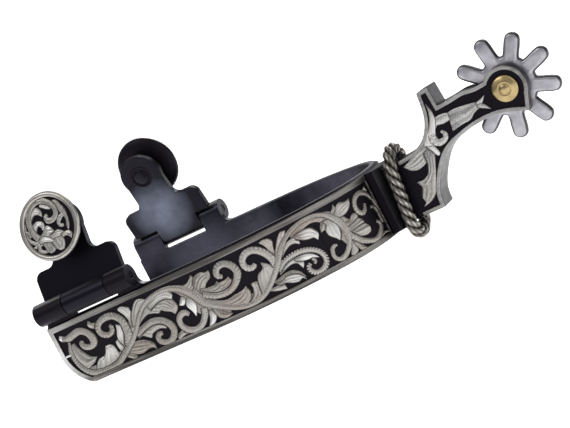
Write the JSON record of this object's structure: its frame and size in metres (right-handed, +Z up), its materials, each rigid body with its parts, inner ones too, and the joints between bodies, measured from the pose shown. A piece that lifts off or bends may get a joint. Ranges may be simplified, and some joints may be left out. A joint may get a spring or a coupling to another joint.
{
  "type": "western spur",
  "caption": "Western show spur: U-shaped heel band with silver scrollwork, swinging strap buttons on hinges, forked shank and a spinning rowel.",
  "frame": {"origin": "centre of the heel bend, at half the height of the heel band", "axes": "+X back towards the shank and rowel, +Y to the right branch, +Z up towards the strap buttons"},
  "size_m": [0.2025, 0.0976, 0.0765],
  "materials": {
    "blued_steel": "blued steel, satin, with a faint violet cast",
    "black_steel": "blackened steel, satin",
    "strip_silver": "plain silver strip, worn satin polish",
    "engraved_silver": "hand-engraved silver overlay, bright cuts",
    "rope_silver": "twisted silver rope, darkened in its grooves",
    "rowel_steel": "stainless steel, satin, bevelled edges",
    "brass": "domed brass, lightly polished",
    "hinge_steel": "blued steel, satin",
    "disc_steel": "blued steel, dark satin",
    "rim_silver": "rounded silver rim, satin"
  },
  "bodies": {
    "spur_band": {"heel_band": "blued_steel", "left_band_border": "strip_silver", "right_band_border": "strip_silver", "left_band_scroll": "engraved_silver", "right_band_scroll": "engraved_silver", "shank": "black_steel", "left_shank_border": "strip_silver", "right_shank_border": "strip_silver", "left_shank_leaf": "engraved_silver", "right_shank_leaf": "engraved_silver", "rope_collar": "rope_silver", "rowel_pin": "brass", "left_hinge_pin": "hinge_steel", "right_hinge_pin": "hinge_steel"},
    "rowel": {"rowel": "rowel_steel"},
    "left_button": {"left_button_leaf": "hinge_steel", "left_button_stud": "hinge_steel", "left_button_disc": "disc_steel", "left_button_rim": "rim_silver", "left_button_scroll": "engraved_silver"},
    "right_button": {"right_button_leaf": "hinge_steel", "right_button_stud": "hinge_steel", "right_button_disc": "disc_steel", "right_button_rim": "rim_silver", "right_button_scroll": "engraved_silver"}
  },
  "joints": [
    {"name": "rowel_spin", "type": "hinge", "parent": "spur_band", "child": "rowel", "pos_m": [0.0946, 0, 0.0184], "axis": [0, 1, 0], "continuous": true},
    {"name": "left_button_swing", "type": "hinge", "parent": "spur_band", "child": "left_button", "pos_m": [-0.06675, -0.0446, 0.0178], "axis": [1, 0, 0], "range_deg": [-50, 95]},
    {"name": "right_button_swing", "type": "hinge", "parent": "spur_band", "child": "right_button", "pos_m": [-0.06675, 0.0446, 0.0178], "axis": [-1, 0, 0], "range_deg": [-50, 95]}
  ]
}
